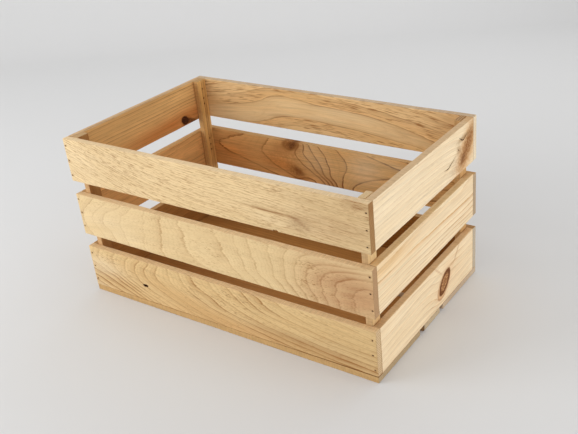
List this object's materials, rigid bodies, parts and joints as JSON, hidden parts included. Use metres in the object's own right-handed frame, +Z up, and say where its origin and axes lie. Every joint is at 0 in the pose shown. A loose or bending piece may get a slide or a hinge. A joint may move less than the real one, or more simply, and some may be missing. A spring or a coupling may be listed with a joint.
{
  "type": "wooden apple crate",
  "caption": "Open-topped slatted pine crate for picked fruit, with spaced side slats nailed to inner corner posts and long floor boards.",
  "frame": {"origin": "centre of the crate's underside, on the floor it stands on", "axes": "+X along the crate's length towards its right end, -Y towards its front, +Z up"},
  "size_m": [0.5, 0.296, 0.252],
  "materials": {
    "slat_pine": "bare planed pine, unvarnished, matt to satin",
    "post_pine": "bare sawn pine, unvarnished, matt",
    "floor_pine": "bare sawn pine, unvarnished, matt",
    "brad_steel": "dull, slightly darkened steel, set below the wood's surface"
  },
  "bodies": {
    "root": {"front_slat_bottom": "slat_pine", "front_slat_middle": "slat_pine", "front_slat_top": "slat_pine", "back_slat_bottom": "slat_pine", "back_slat_middle": "slat_pine", "back_slat_top": "slat_pine", "left_slat_bottom": "slat_pine", "left_slat_middle": "slat_pine", "left_slat_top": "slat_pine", "right_slat_bottom": "slat_pine", "right_slat_middle": "slat_pine", "right_slat_top": "slat_pine", "post_front_left": "post_pine", "post_back_left": "post_pine", "post_front_right": "post_pine", "post_back_right": "post_pine", "floor_board_front": "floor_pine", "floor_board_middle": "floor_pine", "floor_board_back": "floor_pine", "front_wall_brads": "brad_steel", "back_wall_brads": "brad_steel", "left_post_brads": "brad_steel", "right_post_brads": "brad_steel", "floor_brads": "brad_steel"}
  },
  "joints": []
}
